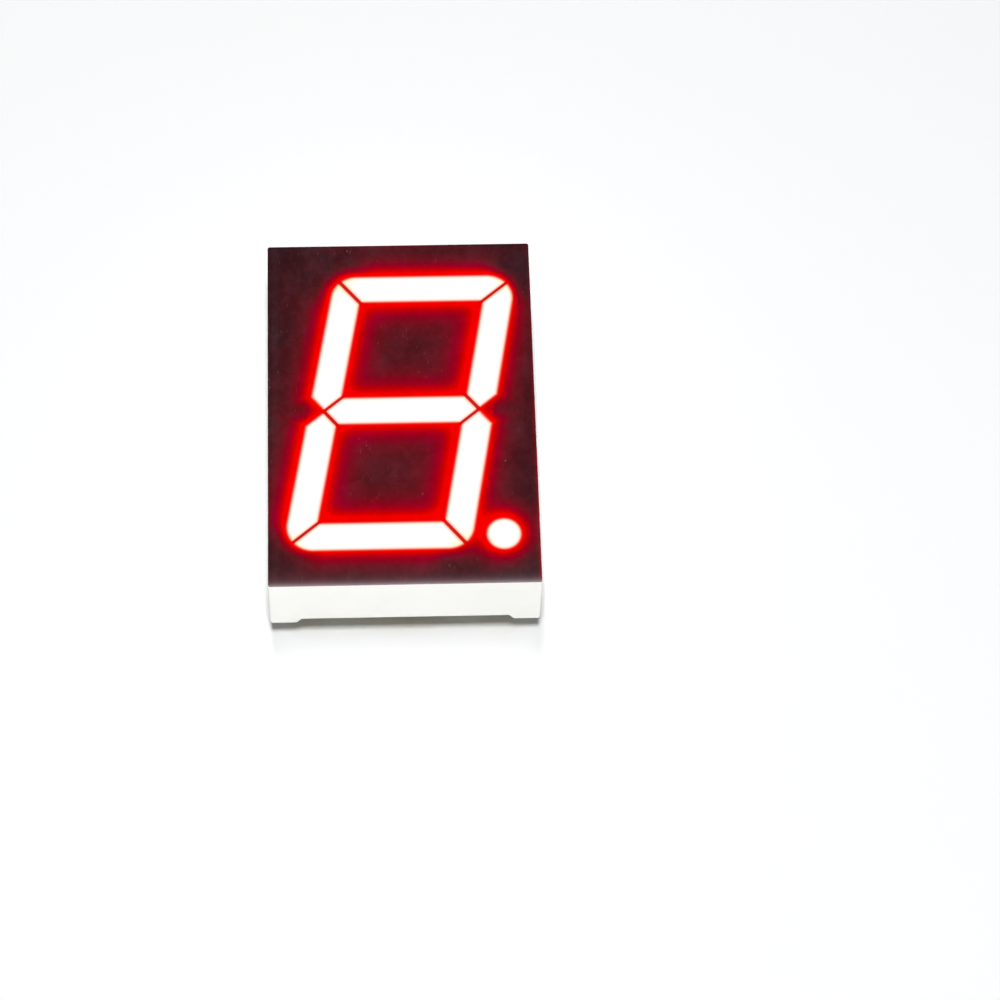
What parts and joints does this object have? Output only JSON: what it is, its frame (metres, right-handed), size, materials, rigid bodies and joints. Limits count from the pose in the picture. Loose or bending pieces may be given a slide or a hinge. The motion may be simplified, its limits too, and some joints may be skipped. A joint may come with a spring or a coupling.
{
  "type": "seven segment display",
  "caption": "Lit single-digit seven segment display with a slanted digit, a decimal point, a dark face film and two rows of pins, potted from behind.",
  "frame": {"origin": "centre of the footprint, on the surface that the pin tips stand on", "axes": "+Z out of the face, +X right across the digit as it is read, +Y up the digit"},
  "size_m": [0.048, 0.07, 0.0192],
  "materials": {
    "moulding": "fine satin moulded white plastic",
    "face_film": "matt dark film",
    "board": "bare glass-filled laminate",
    "copper": "bright copper",
    "chips": "diced semiconductor",
    "bond_wires": "bright drawn wire",
    "lens_a": "satin diffusing resin, lit",
    "lens_b": "satin diffusing resin, lit",
    "lens_c": "satin diffusing resin, lit",
    "lens_d": "satin diffusing resin, lit",
    "lens_e": "satin diffusing resin, lit",
    "lens_f": "satin diffusing resin, lit",
    "lens_g": "satin diffusing resin, lit",
    "lens_point": "satin diffusing resin, lit",
    "pins": "tinned, satin",
    "solder": "bright solder",
    "resin": "glossy milky potting resin"
  },
  "bodies": {
    "root": {"reflector_shell": "moulding", "face_film": "face_film", "circuit_board": "board", "common_track": "copper", "chip_pads": "copper", "segment_a_lens": "lens_a", "segment_b_lens": "lens_b", "segment_c_lens": "lens_c", "segment_d_lens": "lens_d", "segment_e_lens": "lens_e", "segment_f_lens": "lens_f", "segment_g_lens": "lens_g", "track_a": "copper", "track_b": "copper", "track_c": "copper", "track_d": "copper", "track_e": "copper", "track_f": "copper", "track_g": "copper", "chips_a": "chips", "chips_b": "chips", "chips_c": "chips", "chips_d": "chips", "chips_e": "chips", "chips_f": "chips", "chips_g": "chips", "wires_a": "bond_wires", "wires_b": "bond_wires", "wires_c": "bond_wires", "wires_d": "bond_wires", "wires_e": "bond_wires", "wires_f": "bond_wires", "wires_g": "bond_wires", "decimal_point_lens": "lens_point", "track_point": "copper", "chips_point": "chips", "wires_point": "bond_wires", "pin_1": "pins", "pin_2": "pins", "pin_3": "pins", "pin_4": "pins", "pin_5": "pins", "pin_6": "pins", "pin_7": "pins", "pin_8": "pins", "pin_9": "pins", "pin_10": "pins", "solder_joints": "solder", "potting_resin": "resin"}
  },
  "joints": []
}
